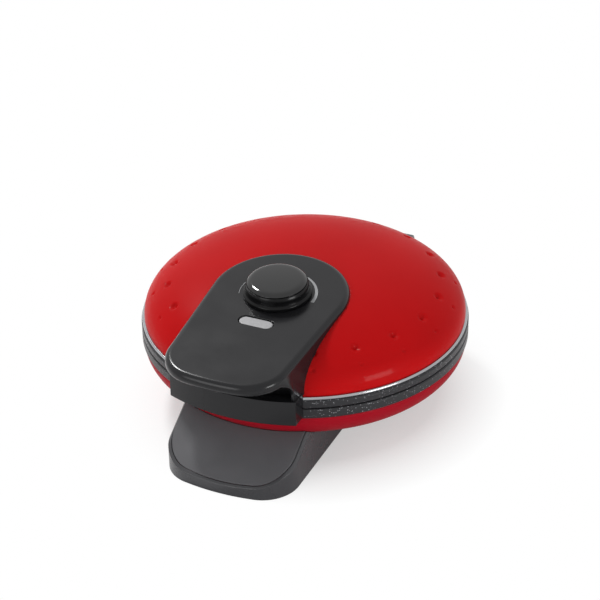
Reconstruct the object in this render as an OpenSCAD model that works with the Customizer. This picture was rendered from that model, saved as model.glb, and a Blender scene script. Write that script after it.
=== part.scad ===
// Round countertop waffle maker: two cast grid plates in a domed casing on a wedge stand.
// Millimetres, +Z up. The origin is on the table under the plates' axis, the handle is at -Y
// and the hinge at +Y. The lid is drawn closed.

/* [Plates] */
// Outer radius of both cast plates
plate_r = 115; // [110:0.5:122]
// Height of the line where the plates part
parting_z = 56.2; // [54:0.1:60]
// Gap between the closed rims
rim_gap = 0.8; // [0.4:0.1:1.4]
// Height of the lower plate's rim edge
lower_edge_h = 7.3; // [6:0.1:9]
// Height of the upper plate's rim edge
upper_edge_h = 5.8; // [5:0.1:8]
// Radius of the baking cavity at its floor
cavity_r = 89; // [80:0.5:92]
// Depth of the baking cavity in each plate
cavity_depth = 10; // [9:0.5:12]
// Thickness of the cast floor behind the cavity
floor_t = 4; // [3:0.5:5]
// Distance from stud to stud
stud_pitch = 16; // [14:0.5:20]
// Width of a stud at its top
stud_top_w = 7.6; // [6:0.2:9]
// Width of a stud at its foot
stud_foot_w = 11; // [10:0.2:13]
// Height of the studs and of the dividing ribs
stud_h = 8; // [6:0.5:8.5]

/* [Lid] */
// Radius of the red lid at its lower edge
lid_r = 112.75; // [110:0.25:114]
// Height of the lid's lower edge
lid_edge_z = 66.2; // [65.5:0.1:68]
// Rise of the dome above its lower edge
dome_rise = 34.8; // [32:0.2:38]
// Roundness of the dome's shoulder in plan
dome_plan_power = 2.83; // [2.4:0.01:3]
// Roundness of the dome's shoulder in height
dome_rise_power = 2.08; // [1.9:0.01:2.3]
// Thickness of the pressed lid and base shells
shell_t = 1.6; // [1.2:0.1:2]
// Radius of the polished ring under the lid
trim_r = 114.4; // [113.5:0.1:114.8]
// Height of the polished ring
trim_h = 2.5; // [2:0.1:3]
// Number of pressed dimples round the shoulder
dimple_count = 20; // [12:2:24]
// Radius at which a dimple starts
dimple_inner_r = 91; // [88:0.5:93]
// Radius at which a dimple ends
dimple_outer_r = 102; // [98:0.5:104]
// Width of a dimple
dimple_w = 7.6; // [6:0.2:9]
// Depth of a dimple
dimple_depth = 1.1; // [0.6:0.1:1.3]

/* [Handle cover] */
// Half the width of the black cover
cover_half_w = 47.3; // [45:0.1:50]
// Height of the cover's top plane above the plates' axis
cover_top_z = 103.9; // [102.5:0.1:106]
// Fall of the cover towards the front, in degrees
cover_tilt = 4.57; // [3.5:0.01:5.2]
// Distance from the plates' axis to the knob's axis
knob_y = -44; // [-48:0.5:-40]
// Radius from the plates' axis to the front of the lip
lip_front_r = 144.5; // [140:0.5:148]
// Corner radius of the lip seen from above
lip_corner_r = 16; // [12:0.5:20]
// Radius of the lip's rounded nose
nose_r = 10; // [8:0.5:11]
// Wall thickness of the cover
cover_t = 2.2; // [1.8:0.1:2.6]
// Radius along the cover's top edges
cover_edge_r = 3; // [2.4:0.1:4]
// Length of the indicator lens
lens_l = 24.6; // [20:0.2:28]
// Width of the indicator lens
lens_w = 9.4; // [8:0.2:10]
// Distance from the knob's axis to the lens
lens_gap = 35.6; // [33:0.2:38]

/* [Knob] */
// Radius of the knob's base ring
knob_base_r = 23.5; // [21:0.1:25]
// Radius of the knob's cap
knob_cap_r = 21.8; // [19:0.1:22.5]
// Height of the knob to the cap's edge
knob_h = 14; // [12:0.2:18]
// Rise of the knob's domed cap
knob_dome = 1.2; // [0.6:0.1:2]
// Radius of the thermostat's spindle
spindle_r = 3; // [2.5:0.1:3.5]

/* [Front block] */
// Radius from the plates' axis to the front block's face
block_front_r = 126; // [124:0.5:129]
// Half the width of the front block
block_half_w = 46.2; // [43:0.1:46.4]
// Height of the front block's lower edge
block_z = 50.8; // [49:0.1:52]
// Height of the front block
block_h = 18.2; // [16:0.1:19]

/* [Base shell and stand] */
// Radial reach of the red base shell's rounded side
bowl_reach = 40; // [36:0.5:46]
// Depth of the red base shell below its straight edge
bowl_depth = 25.2; // [23:0.2:27]
// Half the width of the stand
stand_half_w = 47; // [44:0.5:50]
// Radius from the plates' axis to the stand's front
stand_front_r = 144; // [140:0.5:148]
// Distance from the plates' axis to the back of the stand
stand_back_y = 134; // [132:0.5:138]
// Corner radius of the stand's front
stand_corner_r = 26; // [20:0.5:30]
// Corner radius of the stand's back
stand_back_corner_r = 14; // [8:0.5:18]
// Height of the stand's skirt at the front
skirt_h = 9; // [8:0.5:12]
// Slope of the stand's front panel, in degrees
panel_slope = 31; // [28:0.5:33]
// Wall thickness of the stand
stand_t = 2.6; // [2:0.1:3]
// Height of the stand's rim above the table
stand_lift = 1.5; // [1:0.1:2.5]
// Radius of a rubber foot
foot_r = 7; // [5:0.5:9]

/* [Hinge and cord outlet] */
// Distance from the plates' axis to the hinge pin
hinge_y = 126; // [125:0.5:128]
// Height of the hinge pin
hinge_z = 57; // [56.5:0.1:58.5]
// Radius of the hinge pin
pin_r = 2.5; // [2:0.1:3]
// Radius of the hinge ears
ear_r = 7.5; // [6.5:0.1:7.8]
// Half the width across the hinge ears
ear_half_w = 30; // [27:0.5:32]
// Thickness of each hinge ear
ear_t = 8; // [6:0.5:9]
// Radius of the cord's passage through its outlet
cord_bore_r = 3.7; // [3:0.1:4.5]
// Length of the cord outlet behind the stand
outlet_l = 10.5; // [8:0.5:14]
// Sideways place of the cord outlet
outlet_x = 22; // [15:1:26]

/* [Heating] */
// Radius of the heating element's loop
element_loop_r = 62; // [55:1:70]
// Radius of the heating element's sheath
element_r = 3.3; // [3:0.1:3.6]
// Opening between the ends of the loop, in degrees
element_gap_a = 50; // [40:1:70]
// Thickness of the heat shields
shield_t = 0.8; // [0.6:0.1:1]

/* [Clearances] */
// Gap between pieces that are close but don't fit in each other
gap = 0.3; // [0.25:0.05:0.4]
// Radial clearance of a pin or a spindle that turns
running = 0.05; // [0.03:0.01:0.08]

/* [Hidden] */
$fn = 96;
eps = 0.01;

// Heights that follow from the parting line
lower_rim_z = parting_z - rim_gap / 2;
upper_rim_z = parting_z + rim_gap / 2;
lower_edge_z = lower_rim_z - lower_edge_h;
upper_edge_z = upper_rim_z + upper_edge_h;
trim_top_z = upper_edge_z + trim_h;
lower_back_z = lower_rim_z - cavity_depth - floor_t;
upper_back_z = upper_rim_z + cavity_depth + floor_t;
well_r = cavity_r + 9;

// Places on the sloping top of the cover
cover_z = cover_top_z + knob_y * tan(cover_tilt);
lens_y = -lens_gap;
nose_y = -lip_front_r + nose_r;
nose_z = cover_top_z + nose_y * tan(cover_tilt) - nose_r / cos(cover_tilt);
pillar_y = -block_front_r + 9.5;
cover_skirt_z = lid_edge_z + gap;
block_top_z = block_z + block_h;

// Stand and fasteners
stand_top_z = 42;
cover_plate_t = 2;
foot_x = stand_half_w - 12;
foot_front_y = -stand_front_r + 26;
foot_back_y = stand_back_y - 22;
screw_x = stand_half_w - 11;
screw_front_y = foot_front_y + 22;
screw_back_y = foot_back_y - 22;
screw_r = 1.5;
screw_head_r = 3.2;
screw_head_h = 1.8;
boss_r = 4;
outlet_z = 26;
outlet_r = 6.5;
outlet_flange_r = 9;

black = "#1b1b1d";
red = "#b80d12";
steel = "#d9dadc";
granite = "#3c3c3f";
alloy = "#a9abae";

// Height of the lid's outside at radius r, for a dome drawn in by d
function dome_z(r, d = 0) = lid_edge_z
    + (dome_rise - d) * pow(max(0, 1 - pow(r / (lid_r - d), dome_plan_power)), 1 / dome_rise_power);
// Radii at which the dome's outline is drawn, closer together towards its edge
function dome_radii(d) = [for (a = [0 : 3.75 : 90]) (lid_r - d) * sin(a)];

// Half of the dome's outline, as a filled shape to spin
module dome_section(d, bottom_z) {
    polygon(concat([[0, bottom_z], [lid_r - d, bottom_z]],
        [for (i = [24 : -1 : 0]) let (r = dome_radii(d)[i]) [r, dome_z(r, d)]]));
}

// The casing below the plates' rims, grown by d, with straight sides above
module base_envelope(d) {
    side_z = lower_edge_z - 1;
    centre_r = plate_r - 1 - bowl_reach;
    rotate_extrude()
        polygon(concat([[0, 70], [0, side_z - bowl_depth - d]],
            [for (a = [0 : 7.5 : 90])
                [centre_r + (bowl_reach + d) * sin(a), side_z - (bowl_depth + d) * cos(a)]],
            [[plate_r + d, side_z + 0.6], [plate_r + d, 70]]));
}

// A bar's cross-section with rounded top corners, its top edge on y = 0
module arch_section(half_w, depth, r) {
    translate([-half_w + r, -depth]) square([2 * (half_w - r), depth]);
    translate([-half_w, -depth]) square([2 * half_w, depth - r]);
    for (side = [-1, 1]) translate([side * (half_w - r), -r]) circle(r);
}

// A plan outline with parallel sides and a front that is an arc about the plates' axis.
// Its corner rounds stand proud of the arc by blend, so that the two always cross.
module bowed_plan(half_w, front_r, corner_r, back_y, back_r = 0) {
    blend = 0.04;
    corner_x = half_w - corner_r;
    corner_y = -sqrt(pow(front_r - corner_r + blend, 2) - pow(corner_x, 2));
    reach = 1.3;
    translate([-half_w, corner_y]) square([2 * half_w, back_y - back_r - corner_y]);
    if (back_r > 0) {
        translate([-half_w + back_r, 0]) square([2 * (half_w - back_r), back_y]);
        for (side = [-1, 1]) translate([side * (half_w - back_r), back_y - back_r]) circle(back_r);
    }
    for (side = [-1, 1]) translate([side * corner_x, corner_y]) circle(corner_r);
    intersection() {
        circle(front_r);
        polygon([[0, 0], reach * [-corner_x, corner_y], reach * [corner_x, corner_y]]);
    }
}

// Puts its children on the cover's sloping top, at the knob's axis
module on_cover() {
    translate([0, knob_y, cover_z]) rotate([cover_tilt, 0, 0]) children();
}

module torus(loop_r, r, start, sweep) {
    rotate([0, 0, start]) rotate_extrude(angle = sweep) translate([loop_r, 0]) circle(r, $fn = 32);
}

// Cast plate, seen with its open side up and its rim on z = 0
module grid_plate(edge_h) {
    draft = 2;
    channel_r = cavity_r + 8;
    channel_w = 4;
    half_foot = stud_foot_w / 2;
    half_top = stud_top_w / 2;
    rib_extra = 0.5;
    rows = floor((cavity_r - half_foot) / stud_pitch);
    groove_floor_w = stud_pitch - stud_foot_w;
    groove_top_w = stud_pitch - stud_top_w;
    fit_r = cavity_r - 1.5;
    // Casting with its cavity, its overflow channel and the well that the element heats
    rotate_extrude() difference() {
        polygon([[0, -cavity_depth - floor_t], [well_r - 1, -cavity_depth - floor_t],
            [well_r, -cavity_depth - floor_t + 1], [well_r, -edge_h], [plate_r - 1, -edge_h],
            [plate_r, -edge_h + 1], [plate_r, -0.8], [plate_r - 0.8, 0],
            [cavity_r + draft, 0], [cavity_r, -cavity_depth], [0, -cavity_depth]]);
        translate([channel_r + 6, 0]) circle(channel_w / 2, $fn = 32);
    }
    // Rows of studs, cut apart by tapered grooves
    difference() {
        for (row = [-rows : rows])
            if (row != 0) {
                far_y = abs(row) * stud_pitch + half_foot;
                reach_n = floor((sqrt(pow(fit_r, 2) - pow(far_y, 2)) - half_foot) / stud_pitch);
                row_l = (2 * reach_n + 1) * stud_pitch;
                translate([0, row * stud_pitch, -cavity_depth - eps]) rotate([90, 0, 90])
                    linear_extrude(row_l, center = true)
                        polygon([[-half_foot, 0], [half_foot, 0],
                            [half_top, stud_h], [-half_top, stud_h]]);
            }
        for (column = [-rows - 1 : rows])
            translate([(column + 0.5) * stud_pitch, 0, -cavity_depth]) rotate([90, 0, 0])
                linear_extrude(3 * cavity_r, center = true)
                    polygon([[-groove_floor_w / 2, 0], [groove_floor_w / 2, 0],
                        [groove_top_w / 2, stud_h], [groove_top_w / 2, stud_h + 1],
                        [-groove_top_w / 2, stud_h + 1], [-groove_top_w / 2, stud_h]]);
    }
    // Dividing ribs that break the waffle into four, a little wider than the studs in line
    for (turn = [0, 90])
        rotate([0, 0, turn]) translate([0, 0, -cavity_depth - eps]) rotate([90, 0, 0])
            linear_extrude(2 * cavity_r + 1, center = true)
                polygon([[-half_foot - rib_extra, 0], [half_foot + rib_extra, 0],
                    [half_top + rib_extra, stud_h], [-half_top - rib_extra, stud_h]]);
}

// Tubular element: an open loop whose ends turn away from the plate through the shield
module heating_loop(leg_l) {
    torus(element_loop_r, element_r, 90 + element_gap_a / 2, 360 - element_gap_a);
    for (side = [-1, 1])
        rotate([0, 0, 90 + side * element_gap_a / 2]) translate([element_loop_r, 0, 0]) {
            sphere(element_r, $fn = 32);
            translate([0, 0, -leg_l]) cylinder(leg_l, r = element_r, $fn = 32);
            translate([0, 0, -leg_l - 6]) cylinder(6.5, r = 1.4, $fn = 24);
        }
}

// Pressed pan behind a plate, its flange on z = 0 and its floor below
module heat_shield(depth) {
    wall_r = well_r + 0.8;
    rotate_extrude()
        polygon([[0, -depth], [wall_r + shield_t, -depth], [wall_r + shield_t, -shield_t],
            [wall_r + 6, -shield_t], [wall_r + 6, 0], [wall_r, 0], [wall_r, -depth + shield_t],
            [0, -depth + shield_t]]);
}

module leg_holes(depth) {
    for (side = [-1, 1])
        rotate([0, 0, 90 + side * element_gap_a / 2]) translate([element_loop_r, 0, -depth - 1])
            cylinder(shield_t + 2, r = element_r + 0.6, $fn = 32);
}

// Screw with a pan head, its head on z = 0 and its shank going up
module screw(shank_l, r = screw_r) {
    cylinder(screw_head_h, r = screw_head_r, $fn = 32);
    cylinder(screw_head_h + shank_l, r = r, $fn = 32);
}

module stand_places(front_y, back_y, x) {
    for (side = [-1, 1]) for (y = [front_y, back_y]) translate([side * x, y, 0]) children();
}

module stand_plan(d) {
    bowed_plan(stand_half_w - d, stand_front_r - d, stand_corner_r - d, stand_back_y - d,
        stand_back_corner_r - d);
}

// The stand's outside before the casing is let into it; d draws every face in.
// The rounded section is a little wider than the plan, which gives the stand its flat sides.
module stand_block(d) {
    cradle_y = -89;
    slope_y = -stand_front_r + 0.5;
    edge_r = 6;
    overhang = 0.4;
    intersection() {
        translate([0, 0, d > 0 ? -1 : stand_lift])
            linear_extrude(stand_top_z + 2)
                stand_plan(d);
        union() {
            translate([0, slope_y, skirt_h]) rotate([panel_slope, 0, 0])
                translate([0, 90, -d]) rotate([90, 0, 0])
                    linear_extrude(110) arch_section(stand_half_w + overhang - d, 90, edge_r - d / 2);
            translate([-60, cradle_y, -2]) cube([120, 2 * stand_back_y, stand_top_z + 2 - d]);
        }
    }
}

module panel_plan(d) {
    bowed_plan(stand_half_w - 2.5 - d, stand_front_r - 2.5 - d, stand_corner_r - 2 - d, -90);
}

// The stand's front panel as a slab between two depths under the slope, drawn in by d
module panel_slab(d, top, bottom) {
    intersection() {
        translate([0, -stand_front_r + 0.5, skirt_h]) rotate([panel_slope, 0, 0])
            translate([-60, -20, -bottom]) cube([120, 100, bottom - top]);
        linear_extrude(60) panel_plan(d);
    }
}

module stand() {
    panel_t = 1.6;
    color(black) difference() {
        union() {
            difference() {
                stand_block(0);
                difference() {
                    stand_block(stand_t);
                    base_envelope(gap + stand_t);
                    panel_slab(-2, -1, panel_t + 2);
                }
            }
            stand_places(screw_front_y, screw_back_y, screw_x)
                translate([0, 0, stand_lift + cover_plate_t])
                    cylinder(stand_top_z - stand_lift - cover_plate_t, r = boss_r, $fn = 32);
        }
        base_envelope(gap);
        panel_slab(-gap, -1, panel_t);
        stand_places(screw_front_y, screw_back_y, screw_x)
            cylinder(16, r = screw_r + running, $fn = 32);
        translate([outlet_x, stand_back_y + 1, outlet_z]) rotate([90, 0, 0])
            cylinder(stand_t + 2, r = outlet_r + running, $fn = 48);
    }
}

module stand_panel() {
    color("#3a3a3d") difference() {
        panel_slab(0, 0.1, 1.6);
        base_envelope(gap);
    }
}

module bottom_cover() {
    slot_l = 40;
    color(black) difference() {
        translate([0, 0, stand_lift]) linear_extrude(cover_plate_t)
            stand_plan(stand_t + gap);
        stand_places(foot_front_y, foot_back_y, foot_x)
            translate([0, 0, -1]) cylinder(stand_lift + 1.8, r = foot_r + 0.1, $fn = 48);
        stand_places(screw_front_y, screw_back_y, screw_x) {
            cylinder(10, r = screw_r + 0.3, $fn = 32);
            cylinder(stand_lift + 1, r = screw_head_r + 0.3, $fn = 32);
        }
        for (slot = [-3 : 3])
            translate([-slot_l / 2, slot * 9 - 1.5, 0]) cube([slot_l, 3, 10]);
    }
}

module rubber_feet() {
    color("#26262a") stand_places(foot_front_y, foot_back_y, foot_x)
        cylinder(stand_lift + 0.8, r = foot_r, $fn = 48);
}

module bottom_screws() {
    color(steel) stand_places(screw_front_y, screw_back_y, screw_x)
        translate([0, 0, stand_lift + 1 - screw_head_h]) screw(9);
}

module base_shell() {
    side_z = lower_edge_z - 1;
    centre_r = plate_r - 1 - bowl_reach;
    lip_r = plate_r - 9;
    color(red) rotate_extrude()
        polygon(concat([[0, side_z - bowl_depth]],
            [for (a = [0 : 5 : 90])
                [centre_r + bowl_reach * sin(a), side_z - bowl_depth * cos(a)]],
            [[plate_r - 1, lower_edge_z], [lip_r, lower_edge_z], [lip_r, lower_edge_z - shell_t]],
            [for (a = [85 : -5 : 0])
                [centre_r + (bowl_reach - shell_t) * sin(a), side_z - (bowl_depth - shell_t) * cos(a)]],
            [[0, side_z - bowl_depth + shell_t]]));
}

module lower_plate() {
    color(granite) translate([0, 0, lower_rim_z]) grid_plate(lower_edge_h);
}

module upper_plate() {
    color(granite) translate([0, 0, upper_rim_z]) mirror([0, 0, 1]) grid_plate(upper_edge_h);
}

module lower_element() {
    color(steel) translate([0, 0, lower_back_z - element_r - 0.1]) heating_loop(8);
}

module upper_element() {
    color(steel) translate([0, 0, upper_back_z + element_r + 0.1]) mirror([0, 0, 1]) heating_loop(8);
}

module lower_heat_shield() {
    depth = lower_edge_z - lower_back_z + 2 * element_r + 2;
    color(alloy) translate([0, 0, lower_edge_z]) difference() {
        heat_shield(depth);
        leg_holes(depth);
    }
}

module upper_heat_shield() {
    depth = upper_back_z - upper_edge_z + 2 * element_r + 2;
    color(alloy) translate([0, 0, upper_edge_z]) mirror([0, 0, 1]) difference() {
        heat_shield(depth);
        leg_holes(depth);
    }
}

module terminal_block() {
    block_l = 34;
    block_w = 12;
    color("#e6e2d6") translate([outlet_x - block_l - 10, stand_back_y - 24, stand_lift + cover_plate_t])
        difference() {
            cube([block_l, block_w, 10]);
            for (way = [0 : 2]) translate([6 + way * 11, block_w / 2, 4])
                cylinder(10, r = 2.6, $fn = 32);
        }
}

module front_block() {
    color(black) difference() {
        translate([0, 0, block_z]) linear_extrude(block_h) intersection() {
            circle(block_front_r);
            translate([-block_half_w, -block_front_r - 5]) square([2 * block_half_w, 40]);
        }
        translate([0, 0, block_z - 1]) cylinder(block_h + 2, r = plate_r + gap);
    }
}

module hinge_profile() {
    translate([hinge_y, hinge_z]) circle(ear_r);
    translate([hinge_y - 12, stand_top_z]) square([12 + ear_r, hinge_z - stand_top_z]);
}

module hinge_housing() {
    arm_half_w = ear_half_w - ear_t;
    color(black) difference() {
        translate([-ear_half_w, 0, 0]) rotate([90, 0, 90]) linear_extrude(2 * ear_half_w) hinge_profile();
        translate([0, 0, stand_top_z - 1]) cylinder(40, r = plate_r + gap);
        translate([-arm_half_w, hinge_y - 30, hinge_z - ear_r - 1]) cube([2 * arm_half_w, 60, 40]);
        translate([-ear_half_w - 1, hinge_y, hinge_z]) rotate([0, 90, 0])
            cylinder(2 * ear_half_w + 2, r = pin_r + running, $fn = 48);
    }
}

module hinge_pin() {
    head_t = 1.6;
    color(steel) translate([-ear_half_w - 0.1, hinge_y, hinge_z]) rotate([0, 90, 0]) {
        cylinder(2 * ear_half_w + 1.6, r = pin_r, $fn = 48);
        translate([0, 0, -head_t]) cylinder(head_t, r = pin_r + 1.8, $fn = 48);
    }
}

module hinge_arm() {
    arm_half_w = ear_half_w - ear_t - gap;
    top_y = hinge_y - 18;
    color(black) difference() {
        translate([-arm_half_w, 0, 0]) rotate([90, 0, 90]) linear_extrude(2 * arm_half_w) {
            translate([hinge_y, hinge_z]) circle(ear_r);
            polygon([[top_y - 6, upper_rim_z], [hinge_y, upper_rim_z - 3], [hinge_y + 4, hinge_z + 4],
                [hinge_y, hinge_z + ear_r], [top_y, 73], [top_y - 6, 73]]);
        }
        translate([0, 0, 40]) cylinder(upper_edge_z - 40, r = plate_r + 0.1);
        translate([0, 0, upper_edge_z - 1]) cylinder(lid_edge_z - upper_edge_z + 1 + eps, r = trim_r + 0.1);
        rotate_extrude() dome_section(-0.2, lid_edge_z - 1);
        translate([-ear_half_w - 1, hinge_y, hinge_z]) rotate([0, 90, 0])
            cylinder(2 * ear_half_w + 2, r = pin_r + running, $fn = 48);
    }
}

module cord_outlet() {
    inner_l = 4;
    color(black) translate([outlet_x, stand_back_y, outlet_z]) rotate([-90, 0, 0]) difference() {
        union() {
            translate([0, 0, -stand_t - inner_l]) cylinder(stand_t + inner_l + outlet_l, r = outlet_r);
            cylinder(2, r = outlet_flange_r);
            translate([0, 0, -stand_t - inner_l]) cylinder(inner_l - 0.1, r = outlet_r + 1.5);
        }
        translate([0, 0, -20]) cylinder(60, r = cord_bore_r, $fn = 48);
    }
}

// Plan of the cover, drawn in by d
module cover_plan(d) {
    translate([0, knob_y]) circle(cover_half_w - d);
    bowed_plan(cover_half_w - d, lip_front_r - d, lip_corner_r - d, knob_y);
}

// The cover's outside with its rounded edges; d draws every face in
module cover_block(d) {
    edge_r = cover_edge_r - d / 2;
    nose = nose_r - d;
    depth = 60;
    intersection() {
        translate([0, 0, 40]) linear_extrude(80) cover_plan(d);
        union() {
            on_cover() translate([0, 0, -d]) {
                rotate_extrude() intersection() {
                    arch_section(cover_half_w - d, depth, edge_r);
                    translate([0, -depth]) square([cover_half_w, depth]);
                }
                rotate([90, 0, 0]) linear_extrude(120) arch_section(cover_half_w - d, depth, edge_r);
            }
        }
        union() {
            translate([-60, nose_y, 40]) cube([120, 200, 80]);
            translate([-60, nose_y, nose_z]) rotate([0, 90, 0]) cylinder(120, r = nose);
        }
    }
}

// Room under the cover: the finger recess in front and the lid's dome behind
module cover_underside() {
    front_y = -lip_front_r - 20;
    rotate([90, 0, 90]) translate([0, 0, -60]) linear_extrude(120)
        polygon([[front_y, 30], [front_y, nose_z - 9], [nose_y - 5, nose_z - 8.5],
            [nose_y - 2, nose_z - 6], [nose_y + 1, nose_z - 2.6], [pillar_y - 5.5, nose_z - 1],
            [pillar_y, cover_skirt_z], [-101, cover_skirt_z], [-88, 82], [-60, 88], [60, 88], [60, 30]]);
}

module lens_outline(l, w) {
    square([l - w, w], center = true);
    for (side = [-1, 1]) translate([side * (l - w) / 2, 0]) circle(w / 2, $fn = 48);
}

module handle_cover() {
    color(black) difference() {
        cover_block(0);
        cover_block(cover_t);
        cover_underside();
        translate([-block_half_w - gap, -block_front_r - 1, block_z])
            cube([2 * (block_half_w + gap), 40, block_h + gap]);
        on_cover() {
            translate([0, 0, -10]) cylinder(20, r = spindle_r + 1);
            translate([0, lens_y, -10]) linear_extrude(20) lens_outline(lens_l, lens_w);
        }
    }
}

module grip_liner() {
    liner_t = 2;
    liner_r = plate_r + 3.5;
    color(black) intersection() {
        translate([0, 0, block_top_z + 0.5]) linear_extrude(60) difference() {
            intersection() {
                circle(liner_r);
                translate([-60, -liner_r - 1]) square([120, 40]);
            }
            circle(liner_r - liner_t);
        }
        translate([-60, -200, 0]) cube([120, 200, 200]);
        cover_block(cover_t + gap);
    }
}

// A rounded groove pressed radially into the shoulder of the dome
module dimple(grow) {
    rho = (pow(dimple_w / 2, 2) + pow(dimple_depth, 2)) / (2 * dimple_depth);
    in_z = dome_z(dimple_inner_r + 3);
    out_z = dome_z(dimple_outer_r - 3);
    run = dimple_outer_r - dimple_inner_r - 6;
    slope = atan2(out_z - in_z, run);
    translate([dimple_inner_r + 3, 0, in_z]) rotate([0, 90 - slope, 0])
        translate([-(rho - dimple_depth), 0, 0]) {
            sphere(rho + grow, $fn = 48);
            cylinder(norm([run, out_z - in_z]), r = rho + grow, $fn = 48);
            translate([0, 0, norm([run, out_z - in_z])]) sphere(rho + grow, $fn = 48);
        }
}

module dimples(grow) {
    step = 360 / dimple_count;
    for (i = [0 : dimple_count - 1]) {
        a = (i + 0.5) * step;
        if (abs(dimple_inner_r * cos(a)) > cover_half_w + dimple_w || sin(a) > 0)
            rotate([0, 0, a]) dimple(grow);
    }
}

module lid_shell() {
    step_r = lid_r - shell_t / 2;
    color(red) difference() {
        union() {
            rotate_extrude() dome_section(0, lid_edge_z);
            translate([0, 0, trim_top_z]) cylinder(lid_edge_z - trim_top_z + 1, r = step_r);
        }
        difference() {
            rotate_extrude() dome_section(shell_t, trim_top_z - 1);
            dimples(shell_t);
        }
        dimples(0);
        translate([0, 0, trim_top_z - 1]) linear_extrude(80) cover_plan(-gap);
    }
}

module lid_trim_ring() {
    color(steel) translate([0, 0, upper_edge_z]) difference() {
        cylinder(trim_h, r = trim_r);
        translate([0, 0, -1]) cylinder(trim_h + 2, r = trim_r - 6);
    }
}

module indicator_lens() {
    color("#c9cacb") on_cover() translate([0, lens_y, 0]) {
        translate([0, 0, -cover_t - 0.5]) linear_extrude(cover_t + 0.1)
            lens_outline(lens_l - 0.6, lens_w - 0.6);
        translate([0, 0, -cover_t - 1.4]) linear_extrude(1.3) lens_outline(lens_l + 3, lens_w + 3);
    }
}

module indicator_lamp() {
    color("#e08a4a") on_cover() translate([-7, lens_y, -cover_t - 1.6 - 2.5]) rotate([0, 90, 0]) {
        cylinder(14, r = 2.4, $fn = 32);
        translate([0, 0, 14]) sphere(2.4, $fn = 32);
    }
}

module thermostat() {
    neck_r = 5;
    body_top = -cover_t - 5;
    color("#c8c2b4") on_cover() difference() {
        union() {
            translate([0, 0, body_top]) cylinder(-body_top - cover_t - 0.1, r = neck_r);
            translate([-17, -12, body_top - 9]) cube([34, 24, 9 + eps]);
        }
        translate([0, 0, body_top - 6]) cylinder(40, r = spindle_r + running, $fn = 48);
    }
}

module thermostat_bracket() {
    plate_top = -cover_t - 14.1;
    shield_top_z = upper_back_z + 2 * element_r + 2;
    color(alloy) difference() {
        union() {
            on_cover() translate([-20, -13, plate_top - 1.2]) cube([40, 26, 1.2]);
            for (side = [-1, 1])
                translate([side * 18, knob_y, shield_top_z]) cylinder(4.4, r = 2, $fn = 32);
        }
        on_cover() translate([-40, -40, plate_top]) cube([80, 80, 30]);
    }
}

module control_knob() {
    round_r = 1.6;
    color(black) on_cover() difference() {
        rotate_extrude() polygon(concat([[0, 0.5], [knob_base_r, 0.5], [knob_base_r, 2.8],
            [knob_cap_r + 0.4, 4]],
            [for (a = [0 : 15 : 75])
                [knob_cap_r - round_r * (1 - cos(a)), knob_h - round_r * (1 - sin(a))]],
            [for (i = [4 : -1 : 0])
                [(knob_cap_r - round_r) * i / 5, knob_h + knob_dome * (1 - pow(i / 5, 2))]]));
        difference() {
            cylinder(knob_h - 2.4, r = knob_cap_r - 2);
            cylinder(knob_h, r = spindle_r + 3);
        }
        cylinder(knob_h - 3, r = spindle_r + running, $fn = 48);
    }
}

module thermostat_spindle() {
    body_top = -cover_t - 5;
    color(steel) on_cover() translate([0, 0, body_top - 5.5])
        cylinder(knob_h - 3.2 - body_top + 5.5, r = spindle_r, $fn = 48);
}

stand();
stand_panel();
bottom_cover();
rubber_feet();
bottom_screws();
base_shell();
lower_plate();
lower_element();
lower_heat_shield();
terminal_block();
front_block();
hinge_housing();
hinge_pin();
cord_outlet();
lid_shell();
lid_trim_ring();
upper_plate();
upper_element();
upper_heat_shield();
handle_cover();
grip_liner();
hinge_arm();
indicator_lens();
indicator_lamp();
thermostat();
thermostat_bracket();
control_knob();
thermostat_spindle();
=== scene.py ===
"""Looks for the round waffle maker: its painted casing, moulded handle cover, knob, plates and stand.

Sizes are in millimetres until a mesh is made. +Z is up, the handle is at -Y and the hinge at +Y.
"""

import math

import bmesh
import bpy
from mathutils import Matrix, Vector


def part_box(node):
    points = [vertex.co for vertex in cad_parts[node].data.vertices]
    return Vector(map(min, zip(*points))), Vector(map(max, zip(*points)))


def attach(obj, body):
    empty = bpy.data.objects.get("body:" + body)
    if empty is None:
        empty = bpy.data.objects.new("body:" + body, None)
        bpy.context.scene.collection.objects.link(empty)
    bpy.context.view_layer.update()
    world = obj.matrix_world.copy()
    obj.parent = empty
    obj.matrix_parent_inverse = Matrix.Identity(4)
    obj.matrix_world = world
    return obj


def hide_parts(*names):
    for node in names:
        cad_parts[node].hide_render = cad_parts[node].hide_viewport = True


bl_info = {
    "name": "Round waffle maker",
    "version": (1, 0, 0),
    "blender": (4, 5, 0),
    "location": "3D View > Sidebar > Waffle maker",
    "description": "Builds the visible pieces and finishes of a round waffle maker around its CAD frame",
    "category": "Object",
}

MM = 0.001
CREASE = math.radians(35)  # a fold that is sharper than this stays an edge
MIX_A, MIX_B, MIX_RESULT = 6, 7, 2  # the Mix node's sockets for colours
LENS_LENGTH, LENS_WIDTH = 24.0, 8.8
LENS_PLACE = (0.5, -35.6)  # from the knob's axis, along the sloping top
POCKET_PLAY = 0.7  # between the lens and its pocket

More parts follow.
